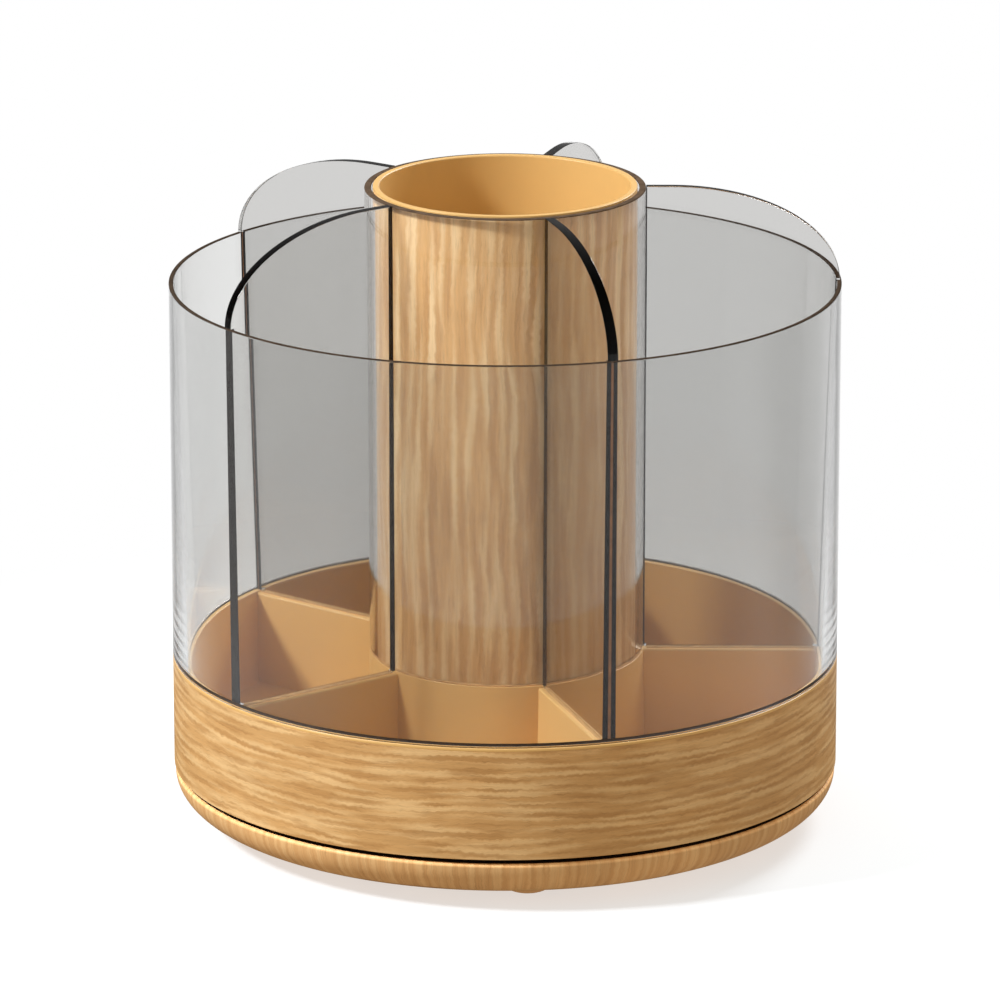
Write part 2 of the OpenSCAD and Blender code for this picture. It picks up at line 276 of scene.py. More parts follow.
def ring_tree():
    tree = bpy.data.node_groups.new("ring_of_pieces", "GeometryNodeTree")
    face = tree.interface
    face.new_socket(name="Geometry", in_out="OUTPUT", socket_type="NodeSocketGeometry")
    for name, kind in (("Piece", "Object"), ("Count", "Int"), ("Radius", "Float"), ("First Angle", "Float"),
                       ("Height", "Float"), ("Tilt", "Float"), ("Finish", "Material")):
        face.new_socket(name=name, in_out="INPUT", socket_type="NodeSocket" + kind)
    given = tree.nodes.new("NodeGroupInput").outputs
    circle = node(tree, "GeometryNodeMeshCircle", {"Vertices": given["Count"], "Radius": given["Radius"]})
    start = node(tree, "ShaderNodeCombineXYZ", {"Z": given["First Angle"]})
    lift = node(tree, "ShaderNodeCombineXYZ", {"Z": given["Height"]})
    placed = node(tree, "GeometryNodeTransform", {"Geometry": circle.outputs["Mesh"], "Translation": lift.outputs[0],
                                                  "Rotation": start.outputs[0]})
    step = node(tree, "ShaderNodeMath", {0: math.tau, 1: given["Count"]}, operation="DIVIDE")
    turn = node(tree, "ShaderNodeMath", {0: node(tree, "GeometryNodeInputIndex").outputs[0], 1: step.outputs[0],
                                         2: given["First Angle"]}, operation="MULTIPLY_ADD")
    facing = node(tree, "ShaderNodeCombineXYZ", {"X": given["Tilt"], "Z": turn.outputs[0]})
    piece = node(tree, "GeometryNodeObjectInfo", {"Object": given["Piece"]})
    copies = node(tree, "GeometryNodeInstanceOnPoints", {"Points": placed.outputs[0],
                                                         "Instance": piece.outputs["Geometry"],
                                                         "Rotation": facing.outputs[0]})
    real = node(tree, "GeometryNodeRealizeInstances", {"Geometry": copies.outputs[0]})
    finish = node(tree, "GeometryNodeSetMaterial", {"Geometry": real.outputs[0], "Material": given["Finish"]})
    node(tree, "NodeGroupOutput", {"Geometry": finish.outputs[0]})
    return tree


def ring_of(name, piece, count, radius, first, height, finish=None, tilt=0.0):
    """Copies of a piece on a circle, as one plain mesh. Sizes in millimetres and degrees."""
    made = new_piece(name, bpy.data.meshes.new(name))
    step = made.modifiers.new("ring", "NODES")
    step.node_group = RING_TREE
    values = {"Piece": piece, "Count": count, "Radius": radius * MM, "First Angle": math.radians(first),
              "Height": height * MM, "Tilt": math.radians(tilt), "Finish": finish}
    for item in RING_TREE.interface.items_tree:
        if item.in_out == "INPUT" and values[item.name] is not None:
            step[item.identifier] = values[item.name]
    settle(made)
    bpy.data.objects.remove(piece)
    return made


# Shader nodes

def node(tree, kind, values=None, **settings):
    """A node with its settings, and its inputs set or linked."""
    made = tree.nodes.new(kind)
    for key, value in settings.items():
        setattr(made, key, value)
    for key, value in (values or {}).items():
        if isinstance(value, bpy.types.NodeSocket):
            tree.links.new(value, made.inputs[key])
        else:
            made.inputs[key].default_value = value
    return made


def colour(red, green, blue):
    """A colour as it is seen, from 0 to 255, in the linear values that shaders take."""
    parts = [c / 255 for c in (red, green, blue)]
    return [c / 12.92 if c <= 0.04045 else ((c + 0.055) / 1.055) ** 2.4 for c in parts] + [1.0]


def shader_group(name, inputs, outputs):
    tree = bpy.data.node_groups.new(name, "ShaderNodeTree")
    for way, sockets in (("INPUT", inputs), ("OUTPUT", outputs)):
        for title, kind in sockets:
            tree.interface.new_socket(name=title, in_out=way, socket_type="NodeSocket" + kind)
    return tree, tree.nodes.new("NodeGroupInput").outputs


def stretched_noise(tree, along, across, fine_along, fine_across, detail=2.0):
    """Flat noise that is drawn out along one way. The two numbers are turns in a metre."""
    x = node(tree, "ShaderNodeMath", {0: along, 1: fine_along}, operation="MULTIPLY")
    y = node(tree, "ShaderNodeMath", {0: across, 1: fine_across}, operation="MULTIPLY")
    place = node(tree, "ShaderNodeCombineXYZ", {"X": x.outputs[0], "Y": y.outputs[0]})
    return node(tree, "ShaderNodeTexNoise", {"Vector": place.outputs[0], "Scale": 1.0, "Detail": detail},
                noise_dimensions="2D").outputs[0]


def span(tree, value, low, high, out_low=0.0, out_high=1.0, smooth=False):
    """A value from one range to another, with soft ends if smooth."""
    return node(tree, "ShaderNodeMapRange", {"Value": value, "From Min": low, "From Max": high, "To Min": out_low,
                                             "To Max": out_high},
                interpolation_type="SMOOTHSTEP" if smooth else "LINEAR").outputs[0]


def blend(tree, share, first, second):
    """First colour where share is 0, second where it is 1."""
    made = node(tree, "ShaderNodeMix", data_type="RGBA")
    for socket, value in ((made.inputs[0], share), (made.inputs[6], first), (made.inputs[7], second)):
        tree.links.new(value, socket)
    return made.outputs[2]


def wood_grain_group():
    """Oak-like grain on a flat sheet: pale streaks, dark strokes, fibres and pores on a middle ground.
    Along and Across are metres with and across the grain, Stripe the streaks' spacing, Run their turns in a metre."""
    tree, given = shader_group(
        "wood_grain",
        [("Along", "Float"), ("Across", "Float"), ("Ground", "Color"), ("Pale", "Color"), ("Dark", "Color"),
         ("Stripe", "Float"), ("Run", "Float"), ("Sway", "Float")],
        [("Color", "Color"), ("Roughness", "Float"), ("Height", "Float")])
    along, across = given["Along"], given["Across"]
    sway = span(tree, stretched_noise(tree, along, across, 24, 30, 1.0), 0, 1, -0.5, 0.5)
    swayed = node(tree, "ShaderNodeMath", {0: sway, 1: given["Sway"], 2: across}, operation="MULTIPLY_ADD")
    jitter = span(tree, stretched_noise(tree, along, across, 700, 460, 2.0), 0, 1, -0.0004, 0.0004)
    bent = node(tree, "ShaderNodeMath", {0: swayed.outputs[0], 1: jitter}, operation="ADD")
    rows = node(tree, "ShaderNodeMath", {0: bent.outputs[0], 1: given["Stripe"]}, operation="DIVIDE").outputs[0]
    length = node(tree, "ShaderNodeMath", {0: along, 1: given["Run"]}, operation="MULTIPLY").outputs[0]
    wander = node(tree, "ShaderNodeMath", {0: stretched_noise(tree, length, rows, 0.5, 0.3, 1.0), 1: 1.5, 2: rows},
                  operation="MULTIPLY_ADD")
    turn = node(tree, "ShaderNodeMath", {0: wander.outputs[0], 1: math.tau}, operation="MULTIPLY")
    wave = span(tree, node(tree, "ShaderNodeMath", {0: turn.outputs[0]}, operation="SINE").outputs[0], -1, 1)
    patch = stretched_noise(tree, length, rows, 1.0, 0.8, 2.0)
    bright = node(tree, "ShaderNodeMath", {0: wave, 1: 0.2, 2: patch}, operation="MULTIPLY_ADD")
    streaks = span(tree, bright.outputs[0], 0.47, 0.85, smooth=True)
    dim = node(tree, "ShaderNodeMath", {0: wave, 1: -0.2, 2: stretched_noise(tree, length, rows, 1.7, 1.3, 2.0)},
               operation="MULTIPLY_ADD")
    strokes = span(tree, dim.outputs[0], 0.35, 0.63, smooth=True)
    fibres = stretched_noise(tree, length, rows, 2.6, 7.0, 2.0)
    drift = stretched_noise(tree, along, across, 9, 40, 2.0)
    pores = span(tree, stretched_noise(tree, length, rows, 7.0, 9.0, 1.0), 0.62, 0.74)
    pale = blend(tree, node(tree, "ShaderNodeMath", {0: streaks, 1: 0.8}, operation="MULTIPLY").outputs[0],
                 given["Ground"], given["Pale"])
    toned = blend(tree, node(tree, "ShaderNodeMath", {0: strokes, 1: 0.55}, operation="MULTIPLY").outputs[0],
                  pale, given["Dark"])
    shade = node(tree, "ShaderNodeMath", {0: span(tree, fibres, 0.25, 0.75, 0.93, 1.07),
                                          1: span(tree, drift, 0.3, 0.7, 0.92, 1.06)}, operation="MULTIPLY")
    shade = node(tree, "ShaderNodeMath", {0: shade.outputs[0], 1: span(tree, pores, 0, 1, 1.0, 0.86)},
                 operation="MULTIPLY")
    final = node(tree, "ShaderNodeVectorMath", {0: toned, 1: shade.outputs[0]}, operation="MULTIPLY")
    rough = span(tree, streaks, 0, 1, 0.50, 0.42)
    height = node(tree, "ShaderNodeMath", {0: shade.outputs[0], 1: strokes}, operation="SUBTRACT")
    node(tree, "NodeGroupOutput", {"Color": final.outputs[0], "Roughness": rough, "Height": height.outputs[0]})
    return tree


def moulded_group():
    """Even tone drift, flow marks and the fine skin of a moulded or cast surface."""
    tree, given = shader_group(
        "moulded_skin",
        [("Color", "Color"), ("Drift", "Float"), ("Skin", "Float")],
        [("Color", "Color"), ("Roughness", "Float"), ("Height", "Float")])
    place = node(tree, "ShaderNodeTexCoord").outputs["Object"]
    clouds = node(tree, "ShaderNodeTexNoise", {"Vector": place, "Scale": 55.0, "Detail": 3.0}).outputs[0]
    skin = node(tree, "ShaderNodeTexNoise", {"Vector": place, "Scale": given["Skin"], "Detail": 2.0}).outputs[0]
    low = node(tree, "ShaderNodeMath", {0: 1.0, 1: given["Drift"]}, operation="SUBTRACT")
    high = node(tree, "ShaderNodeMath", {0: 1.0, 1: given["Drift"]}, operation="ADD")
    shade = node(tree, "ShaderNodeMapRange", {"Value": clouds, "From Min": 0.3, "From Max": 0.7,
                                              "To Min": low.outputs[0], "To Max": high.outputs[0]})
    toned = node(tree, "ShaderNodeVectorMath", {0: given["Color"], 1: shade.outputs[0]}, operation="MULTIPLY")
    rough = span(tree, clouds, 0.3, 0.7, 0.46, 0.36)
    node(tree, "NodeGroupOutput", {"Color": toned.outputs[0], "Roughness": rough, "Height": skin})
    return tree


def new_material(name):
    material = bpy.data.materials.new(name)
    material.use_nodes = True
    tree = material.node_tree
    tree.nodes.clear()
    return material, tree


def group(tree, source, values):
    return node(tree, "ShaderNodeGroup", values, node_tree=source).outputs


def bump(tree, height, strength, distance):
    return node(tree, "ShaderNodeBump", {"Height": height, "Strength": strength, "Distance": distance}).outputs[0]


def close_material(tree, shader):
    node(tree, "ShaderNodeOutputMaterial", {"Surface": shader})


def wood_material(name, tones, upright, stripe, run, sway, radius=None, edge=None):
    """Wood grain with ground, pale and dark tones: flat along X, or round a piece of this radius or upright on it,
    on its own UV map. There the last of the grain fades into its first, so that no seam shows. Edge is a height
    range where a painted highlight makes the grain paler."""
    material, tree = new_material(name)
    solid = node(tree, "ShaderNodeTexCoord").outputs["Object"]
    sheet = node(tree, "ShaderNodeUVMap", uv_map="grain").outputs[0] if radius else solid
    ways = node(tree, "ShaderNodeSeparateXYZ", {0: sheet}).outputs

    def grain(shift):
        turned = node(tree, "ShaderNodeMath", {0: ways[0], 1: shift}, operation="ADD").outputs[0]
        along, across = (ways[1], turned) if upright else (turned, ways[1])
        return group(tree, WOOD_GRAIN, {"Along": along, "Across": across, "Ground": tones[0], "Pale": tones[1],
                                        "Dark": tones[2], "Stripe": stripe, "Run": run, "Sway": sway})

    look = grain(0.0)
    tone, rough, height = look["Color"], look["Roughness"], look["Height"]
    if radius:
        last = grain(math.tau * radius * MM)
        share = span(tree, ways[0], 0.0, 0.03, 1.0, 0.0, smooth=True)
        tone = blend(tree, share, tone, last["Color"])
        height = node(tree, "ShaderNodeMix", {0: share, 2: height, 3: last["Height"]}).outputs[0]
    if edge:
        level = node(tree, "ShaderNodeSeparateXYZ", {0: solid}).outputs["Z"]
        # painted highlight: the grain is made up to 1.6 times paler in this height range
        painted_highlight = span(tree, level, edge[0] * MM, edge[1] * MM, 1.0, 1.6, smooth=True)
        tone = node(tree, "ShaderNodeVectorMath", {0: tone, 1: painted_highlight}, operation="MULTIPLY").outputs[0]
    shader = node(tree, "ShaderNodeBsdfPrincipled",
                  {"Base Color": tone, "Roughness": rough, "Specular IOR Level": 0.35,
                   "Normal": bump(tree, height, 0.25, 0.0002)})
    close_material(tree, shader.outputs[0])
    return material


def moulded_material(name, tint, drift, skin, shine, metal=0.0, relief=0.08):
    material, tree = new_material(name)
    look = group(tree, MOULDED, {"Color": tint, "Drift": drift, "Skin": skin})
    rough = node(tree, "ShaderNodeMath", {0: look["Roughness"], 1: shine}, operation="MULTIPLY")
    shader = node(tree, "ShaderNodeBsdfPrincipled",
                  {"Base Color": look["Color"], "Roughness": rough.outputs[0], "Metallic": metal,
                   "Specular IOR Level": 0.4, "Normal": bump(tree, look["Height"], relief, 0.0001)})
    close_material(tree, shader.outputs[0])
    return material


def clear_material(name, tint, lamps, bend, depth=0.0):
    """Clear plastic that lets lamps and bounced light through. Tint is what a wall's faces let through, bend its
    index and depth how strongly its inside takes up light."""
    material, tree = new_material(name)
    place = node(tree, "ShaderNodeTexCoord").outputs["Object"]
    flow = node(tree, "ShaderNodeTexNoise", {"Vector": place, "Scale": 38.0, "Detail": 1.5}).outputs[0]
    solid = node(tree, "ShaderNodeBsdfPrincipled",
                 {"Base Color": tint, "Roughness": 0.02, "IOR": bend, "Transmission Weight": 1.0,
                  "Normal": bump(tree, flow, 0.05, 0.0006)})
    passing = node(tree, "ShaderNodeBsdfTransparent", {"Color": lamps})
    path = node(tree, "ShaderNodeLightPath").outputs
    lit = node(tree, "ShaderNodeMixShader", {0: path["Is Shadow Ray"], 1: solid.outputs[0], 2: passing.outputs[0]})
    both = node(tree, "ShaderNodeMixShader", {0: path["Is Diffuse Ray"], 1: lit.outputs[0], 2: passing.outputs[0]})
    out = node(tree, "ShaderNodeOutputMaterial", {"Surface": both.outputs[0]})
    if depth:
        inside = node(tree, "ShaderNodeVolumeAbsorption", {"Color": (0.54, 0.5, 0.46, 1), "Density": 2 * depth})
        tree.links.new(inside.outputs[0], out.inputs["Volume"])
    return material


def edge_material(name, tint):
    """An opaque finish in one tone with faint marks, for edges of clear pieces. Lamps shine through it."""
    material, tree = new_material(name)
    place = node(tree, "ShaderNodeTexCoord").outputs["Object"]
    marks = node(tree, "ShaderNodeTexNoise", {"Vector": place, "Scale": 420.0, "Detail": 2.0}).outputs[0]
    shade = span(tree, marks, 0.3, 0.7, 0.8, 1.2)
    toned = node(tree, "ShaderNodeVectorMath", {0: tint[:3], 1: shade}, operation="MULTIPLY")
    shader = node(tree, "ShaderNodeBsdfPrincipled",
                  {"Base Color": toned.outputs[0], "Roughness": span(tree, marks, 0.3, 0.7, 0.4, 0.55),
                   "Specular IOR Level": 0.0, "Normal": bump(tree, marks, 0.1, 0.0001)})
    passing = node(tree, "ShaderNodeBsdfTransparent", {"Color": (1, 1, 1, 1)})
    path = node(tree, "ShaderNodeLightPath").outputs
    lit = node(tree, "ShaderNodeMixShader", {0: path["Is Shadow Ray"], 1: shader.outputs[0], 2: passing.outputs[0]})
    close_material(tree, lit.outputs[0])
    return material


RING_TREE = ring_tree()
WOOD_GRAIN = wood_grain_group()
MOULDED = moulded_group()

band_wood = wood_material("band_wood_grain", (colour(200, 158, 103), colour(226, 192, 140), colour(172, 127, 74)),
                          upright=False, stripe=0.0022, run=42.0, sway=0.0016, radius=TRAY_R)
cup_wood = wood_material("cup_wood_grain", (colour(223, 180, 122), colour(250, 224, 178), colour(200, 152, 96)),
                         upright=True, stripe=0.0034, run=26.0, sway=0.004, radius=CUP_R)
# its top shoulder gets a painted highlight: paler grain in the edge range
base_wood = wood_material("base_wood", (colour(212, 169, 116), colour(224, 186, 134), colour(196, 151, 99)),
                          upright=True, stripe=0.0026, run=14.0, sway=0.001, radius=BASE_R,
                          edge=(BASE_TOP - 1.0, BASE_TOP - 0.3))
base_flat_wood = wood_material("base_wood_flat", (colour(200, 158, 104), colour(220, 184, 132), colour(168, 122, 74)),
                               upright=False, stripe=0.0046, run=12.0, sway=0.012)
# painted shade: near-black grain stands for the shade in the gap under the tray
painted_shade_groove_wood = wood_material("base_groove_painted_shade", (colour(40, 29, 20), colour(54, 40, 28), colour(28, 20, 14)),
                            upright=False, stripe=0.0026, run=30.0, sway=0.003, radius=BASE_R)
tan = moulded_material("tan_plastic", colour(216, 176, 111), drift=0.03, skin=2600.0, shine=1.0)
rubber = moulded_material("foot_rubber", colour(196, 156, 112), drift=0.05, skin=3200.0, shine=1.5, relief=0.3)
steel = moulded_material("race_steel", colour(176, 177, 180), drift=0.06, skin=4200.0, shine=0.7, metal=1.0,
                         relief=0.15)
screw_steel = moulded_material("screw_steel", colour(188, 188, 190), drift=0.05, skin=3600.0, shine=0.6, metal=1.0,
                               relief=0.12)
chrome = moulded_material("ball_chrome", colour(214, 215, 218), drift=0.02, skin=5200.0, shine=0.25, metal=1.0,
                          relief=0.03)
brass = moulded_material("insert_brass", colour(206, 170, 96), drift=0.06, skin=3600.0, shine=0.7, metal=1.0,
                         relief=0.15)
nylon = moulded_material("nylon", colour(228, 222, 206), drift=0.03, skin=2400.0, shine=1.1)
wall_clear = clear_material("clear_plastic", (0.82, 0.822, 0.815, 1), lamps=(1, 1, 1, 1), bend=1.42)
panel_clear = clear_material("clear_plastic_panel", (0.72, 0.722, 0.718, 1), lamps=(0.99, 0.99, 0.99, 1), bend=1.40,
                             depth=48.0)
front_clear = clear_material("clear_plastic_front", (0.97, 0.971, 0.965, 1), lamps=(0.99, 0.99, 0.99, 1), bend=1.40,
                             depth=48.0)
tube_clear = clear_material("clear_plastic_tube", (0.99, 0.99, 0.985, 1), lamps=(1, 1, 1, 1), bend=1.42, depth=45.0)
dark_edge = edge_material("clear_plastic_edge", colour(22, 16, 12))
strip_edge = edge_material("clear_plastic_strip", colour(146, 106, 73))
# also used for the strip of painted shade at the wall's inner foot
rim_edge = edge_material("clear_plastic_rim", colour(66, 56, 48))
tube_edge = edge_material("clear_plastic_tube_rim", colour(88, 74, 62))
foot_edge = edge_material("clear_plastic_foot", colour(206, 168, 118))


def finish_piece(piece, finishes, body, slot, *nodes, sharp=32.0):
    """Gives a piece its finishes and smooth shading, and puts it on its body in place of its CAD nodes."""
    mesh = piece.data
    if finishes:
        places = [f.material_index for f in mesh.polygons]
        mesh.materials.clear()
        for finish in finishes:
            mesh.materials.append(finish)
        mesh.polygons.foreach_set("material_index", places)
    mesh.shade_smooth()
    mesh.set_sharp_from_angle(angle=math.radians(sharp))
    even = piece.modifiers.new("even_shading", "WEIGHTED_NORMAL")
    even.keep_sharp = True
    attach(piece, body)
    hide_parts(*nodes)
    return piece


# Base unit

def base_piece():
    curve_z = BASE_TOP - BASE_ROUND
    curve = arc(BASE_R - BASE_CURVE_W, curve_z, BASE_CURVE_W, curve_z - BASE_Z, -90, 0, 24)
    shoulder = arc(BASE_R - BASE_ROUND, curve_z, BASE_ROUND, BASE_ROUND, 0, 90, 5)
    recess = [(COLLAR_R, BASE_TOP, 0.2), (COLLAR_R, COLLAR_TOP, 0.3), (COLLAR_IN_R, COLLAR_TOP, 0.3),
              (COLLAR_IN_R, DISH_Z, DISH_FILLET), (SEAT_R, DISH_Z, 0.2), (SEAT_R, SEAT_Z, 0.2),
              (SEAT_IN_R, SEAT_Z, 0.2), (SEAT_IN_R, DISH_Z, 0.2), (BOSS_R, DISH_Z, 0.4),
              (BOSS_R, BOSS_TOP, 0.4), (0, BOSS_TOP, 0)]

    def finish(r, z):
        """Upright grain outside, painted shade as dark-toned grain in the groove under the tray, flat grain inside and
        underneath.
        """
        if COLLAR_R - 0.1 < r < BASE_R - 0.9 and BASE_TOP - 0.2 < z < COLLAR_TOP + 0.1:
            return 2
        return r < FLAT_R or (r < COLLAR_R - 0.1 and z > DISH_Z - 0.9)

    piece = lathe("base_dish", rounded([(0, BASE_Z, 0)] + curve + shoulder + recess), 240, finish)
    pocket = plug("pocket", POCKET_R, -CUT, POCKET_DEPTH, 48)
    combine(piece, ring_of("pockets", pocket, FEET, FOOT_PITCH, FOOT_TURN, BASE_Z), "DIFFERENCE")
    hole = plug("hole", SCREW_HOLE_R, -SCREW_HOLE_DEPTH, CUT, 24)
    combine(piece, ring_of("holes", hole, BASE_SCREWS, SCREW_R, BASE_SCREW_TURN, SEAT_Z), "DIFFERENCE")
    combine(piece, plug("bore", INSERT_R, INSERT_Z, BOSS_TOP + 2 * CUT, 48), "DIFFERENCE")
    return finish_piece(piece, [base_wood, base_flat_wood, painted_shade_groove_wood], "base_unit", "base_wood", "base")


def feet_piece():
    top = BASE_Z + POCKET_DEPTH
    dome = arc(FOOT_R - FOOT_ROUND_W, BASE_Z, FOOT_ROUND_W, BASE_Z, -90, 0, 10)
    foot = lathe("foot", rounded([(0, 0, 0)] + dome + [(FOOT_R, top, 0.1), (0, top, 0)]), 56)
    feet = ring_of("rubber_feet", foot, FEET, FOOT_PITCH, FOOT_TURN, 0, rubber)
    return finish_piece(feet, [], "base_unit", "foot_rubber", "foot_1", "foot_2", "foot_3", "foot_4")


# Turntable

def tray_piece():
    body_r = TRAY_R - BAND_SEAT
    rim_low, groove_low = RIM_Z - RIM_H, RIM_Z - GROOVE_DEPTH
    outline = [(body_r, TRAY_Z, 0.2), (body_r, rim_low, 0), (TRAY_R, rim_low, 0.1), (TRAY_R, RIM_Z, 0.4),
               (GROOVE_R, RIM_Z, 0.1), (GROOVE_R, groove_low, 0.1), (GROOVE_IN_R, groove_low, 0.1),
               (GROOVE_IN_R, RIM_Z, 0.1), (RIM_IN_R, RIM_Z, 0.3), (FLOOR_R, FLOOR_Z, 0.6),
               (HUB_FOOT_R, FLOOR_Z, 0.6), (TUBE_R, RIM_Z, 0.2), (TUBE_IN_R, RIM_Z, 0.2),
               (TUBE_IN_R, FLOOR_Z, 0.4), (BUSH_BOSS_R, FLOOR_Z, 0.3), (BUSH_BOSS_R, BUSH_BOSS_TOP, 0.3),
               (BUSH_R, BUSH_BOSS_TOP, 0.1), (BUSH_R, UNDER_Z, 0.2), (SKIRT_IN_R, UNDER_Z, 0.4),
               (SKIRT_IN_R, TRAY_Z, 0.2)]
    piece = lathe("tan_tray", rounded(outline), 240)
    hub_r, sunk_z = (TUBE_IN_R + TUBE_R) / 2, (UNDER_Z + FLOOR_Z) / 2
    bar = drafted_bar("bar", hub_r, PARTITION_R, sunk_z, PARTITION_Z, PARTITION_FOOT_T, PARTITION_TOP_T, 0.5)
    combine(piece, ring_of("bars", bar, DIVIDERS, 0, 0, 0), "UNION")
    rib = drafted_bar("rib", RIB_IN_R, hub_r, sunk_z, CUP_Z, RIB_T, RIB_T, 0.3)
    combine(piece, ring_of("ribs", rib, RIBS, 0, RIB_TURN, 0), "UNION")
    hole = plug("hole", SCREW_HOLE_R, -CUT, SCREW_HOLE_DEPTH, 24)
    combine(piece, ring_of("holes", hole, DIVIDERS, SCREW_R, 0, UNDER_Z), "DIFFERENCE")
    return finish_piece(piece, [tan], "turntable", "tan_plastic", "tray")


def band_piece():
    band = ring_section("grain_band", BAND_IN_R, TRAY_R, TRAY_Z, RIM_Z - RIM_H - TRAY_Z, 0.15, 256)
    return finish_piece(band, [band_wood], "turntable", "band_wood_grain", "tray_band")


def wall_piece():
    """The round wall with its tongue in the tray's groove, a dark rim and a strip of painted shade at its inner foot.
    """
    foot = RIM_Z + AIR
    shade_strip_z = foot + FOOT_SHADE_STRIP_H
    lean = (WALL_TOP_R - WALL_FOOT_R) / (WALL_TOP - foot)
    tongue_z = RIM_Z - TONGUE_DEPTH
    outline = [(TRAY_R, foot, 0.1), (TRAY_R, WALL_TOP, 0.35), (WALL_TOP_R, WALL_TOP, 0.35),
               (WALL_FOOT_R + lean * FOOT_SHADE_STRIP_H, shade_strip_z, 0), (WALL_FOOT_R, foot, 0.1), (TONGUE_IN_R, foot, 0.05),
               (TONGUE_IN_R, tongue_z, 0.1), (TONGUE_R, tongue_z, 0.1), (TONGUE_R, foot, 0.05)]
    # the rim finish also paints shade on a strip at the inner foot
    piece = lathe("clear_ring_wall", rounded(outline), 256,
                  lambda r, z: z > WALL_TOP - 0.2 or (r < WALL_FOOT_R + 0.2 and z < shade_strip_z))
    return finish_piece(piece, [wall_clear, rim_edge], "turntable", "clear_plastic", "clear_wall")


def tube_piece():
    piece = ring_section("clear_cup_tube", TUBE_IN_R, TUBE_R, RIM_Z + AIR, TOP_Z - RIM_Z - AIR, 0.3, 192,
                         lambda r, z: 1 if z > TOP_Z - 0.29 else 2 * (z < RIM_Z + 0.3))
    return finish_piece(piece, [tube_clear, tube_edge, foot_edge], "turntable", "clear_plastic", "clear_tube")


def divider_piece(index):
    """A drafted clear panel: a foot on its partition, a curved shoulder over the rim, and dark upright edges."""
    low, rim = PARTITION_Z + AIR, RIM_Z + AIR
    foot_in, foot_out = HUB_FOOT_R + PANEL_GAP, FLOOR_R - PANEL_GAP
    wall_in, tube_out = WALL_TOP_R - PANEL_GAP, TUBE_R + PANEL_TUBE_GAP
    shoulder = arc(SHOULDER_R - SHOULDER_W, WALL_TOP + AIR, SHOULDER_W, TOP_Z - WALL_TOP - AIR, 0, 90, 28)
    corners = [(foot_in, low, 0), (foot_out, low, 0), (foot_out, rim, 0), (WALL_FOOT_R - PANEL_GAP, rim, 0),
               (wall_in, WALL_TOP - 0.3, 0), (wall_in, WALL_TOP + AIR, 0)] + shoulder
    corners += [(tube_out, TOP_Z, 0), (tube_out, rim, 0), (foot_in, rim, 0)]
    points = [Vector(c[:2]) for c in corners]
    count = len(points)
    inward = []
    for i in range(count):
        a = (points[i] - points[i - 1]).normalized()
        b = (points[(i + 1) % count] - points[i]).normalized()
        left_a, left_b = Vector((-a.y, a.x)), Vector((-b.y, b.x))
        inward.append((left_a + left_b) / (1 + left_a.dot(left_b)))
    round_in = ROUND_SHARE * PANEL_EDGE
    across = [(PANEL_EDGE, 1, 0), (round_in, 1, round_in), (0, 1, PANEL_EDGE), (0, STRIP_SHARE, 0)]
    across += [(inset, -share, -drop) for inset, share, drop in reversed(across)]
    bm = bmesh.new()
    loops = []
    for inset, share, drop in across:
        ring = []
        for p, n in zip(points, inward):
            q = p + n * inset
            thick = PANEL_FOOT_T + (PANEL_TOP_T - PANEL_FOOT_T) * (q.y - PARTITION_Z) / (TOP_Z - PARTITION_Z)
            ring.append(bm.verts.new((q.x, share * thick / 2 - drop, q.y)))
        loops.append(ring)
    outer_edge, foot_face, inner_edge, middle_row = (3, 4), 0, count - 3, 3
    finishes = {foot_face: 2, outer_edge[0]: 1, outer_edge[1]: 1, inner_edge: 1}
    striped = index != 4
    for row, (low_ring, high_ring) in enumerate(zip(loops, loops[1:])):
        for i in range(count):
            k = (i + 1) % count
            face = bm.faces.new((low_ring[i], low_ring[k], high_ring[k], high_ring[i]))
            strip = striped and i in outer_edge and row == middle_row
            face.material_index = 3 if strip else finishes.get(i, 0)
    bm.faces.new(loops[0])
    bm.faces.new(loops[-1])
    name = f"clear_divider_{index}"
    mesh = mesh_of(name, bm)
    mesh.transform(Matrix.Rotation(math.radians((index - 1) * 360 / DIVIDERS), 4, "Z"))
    sheet = front_clear if index > 3 else panel_clear
    return finish_piece(new_piece(name, mesh), [sheet, dark_edge, foot_edge, strip_edge], "turntable",
                        "clear_plastic", f"divider_{index}")


# Brush cup

def cup_piece():
    lip = CUP_TOP - CUP_LIP_H
    outline = [(0, CUP_Z, 0), (CUP_BODY_R, CUP_Z, 0.6), (CUP_BODY_R, lip, 0), (CUP_R, lip, 0.1),
               (CUP_R, CUP_TOP, 0.25), (CUP_IN_R, CUP_TOP, 0.4), (CUP_IN_R, CUP_FLOOR_Z, 3.0), (0, CUP_FLOOR_Z, 0)]
    piece = lathe("tan_cup", rounded(outline, 5), 192)
    return finish_piece(piece, [tan], "cup_unit", "tan_plastic", "brush_cup")


def wrap_piece():
    height = CUP_TOP - CUP_LIP_H - CUP_FLOOR_Z
    wrap = ring_section("grain_wrap", WRAP_IN_R, CUP_R, CUP_FLOOR_Z, height, 0.12, 192)
    return finish_piece(wrap, [cup_wood], "cup_unit", "cup_wood_grain", "cup_wrap")


base_piece()
feet_piece()
tray_piece()
band_piece()
wall_piece()
tube_piece()
for number in range(1, DIVIDERS + 1):
    divider_piece(number)
cup_piece()
wrap_piece()

for name, finish in (("lower_race", steel), ("upper_race", steel), ("lower_race_screws", screw_steel),
                     ("upper_race_screws", screw_steel), ("pivot_screw", screw_steel), ("bearing_balls", chrome),
                     ("threaded_insert", brass), ("ball_cage", nylon), ("pivot_washer", nylon), ("pivot_bush", nylon)):
    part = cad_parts[name]
    for slot in part.material_slots:
        slot.material = finish


# Stage, light and camera

